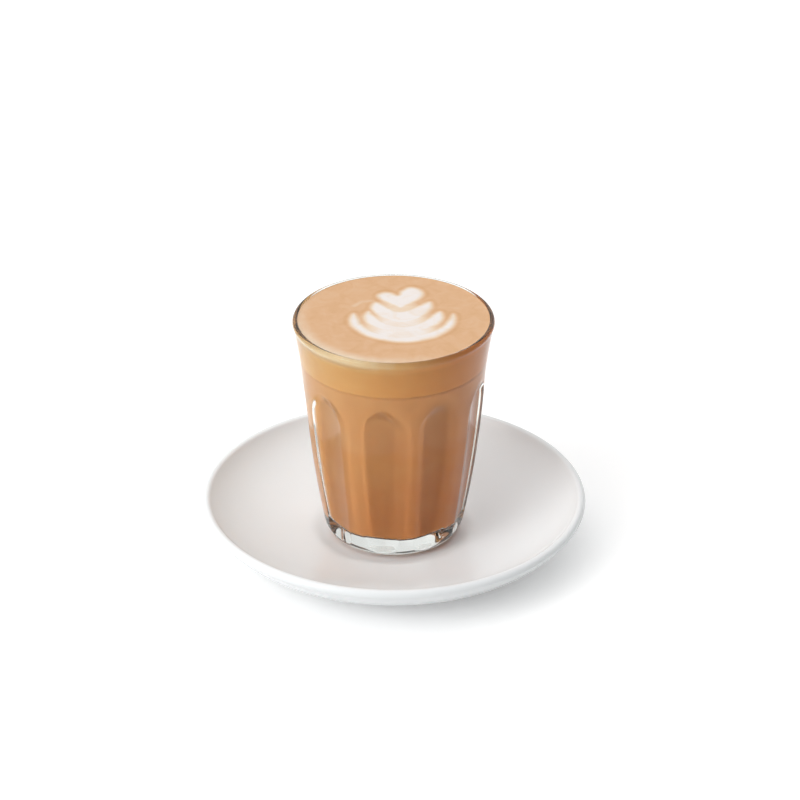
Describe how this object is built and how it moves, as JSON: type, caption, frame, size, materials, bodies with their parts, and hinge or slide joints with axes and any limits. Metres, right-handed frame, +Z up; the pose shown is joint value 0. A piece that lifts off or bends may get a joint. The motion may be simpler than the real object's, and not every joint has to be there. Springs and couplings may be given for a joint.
{
  "type": "cortado glass",
  "caption": "Fluted pressed-glass tumbler full of milky coffee with foam and a poured tulip, standing in the well of a deep round saucer.",
  "frame": {"origin": "on the table, under the middle of the saucer's foot ring", "axes": "+Z up along the tumbler's axis, -Y towards the viewer of the picture, +X to the viewer's right"},
  "size_m": [0.1476, 0.1476, 0.0955],
  "materials": {
    "glazed_porcelain": "glossy white glaze",
    "pressed_glass": "clear, fire-polished",
    "milk_coffee": "opaque milky liquid",
    "crema_foam": "fine satin foam",
    "milk_foam": "fine satin milk foam"
  },
  "bodies": {
    "saucer": {"saucer": "glazed_porcelain"},
    "glass": {"tumbler": "pressed_glass", "milk_coffee": "milk_coffee", "microfoam": "crema_foam", "tulip_base": "milk_foam", "tulip_lower_leaf": "milk_foam", "tulip_upper_leaf": "milk_foam", "tulip_heart": "milk_foam"}
  },
  "joints": [
    {"name": "glass_lift", "type": "slide", "parent": "saucer", "child": "glass", "axis": [0, 0, 1], "range_m": [0, 0.1]}
  ]
}
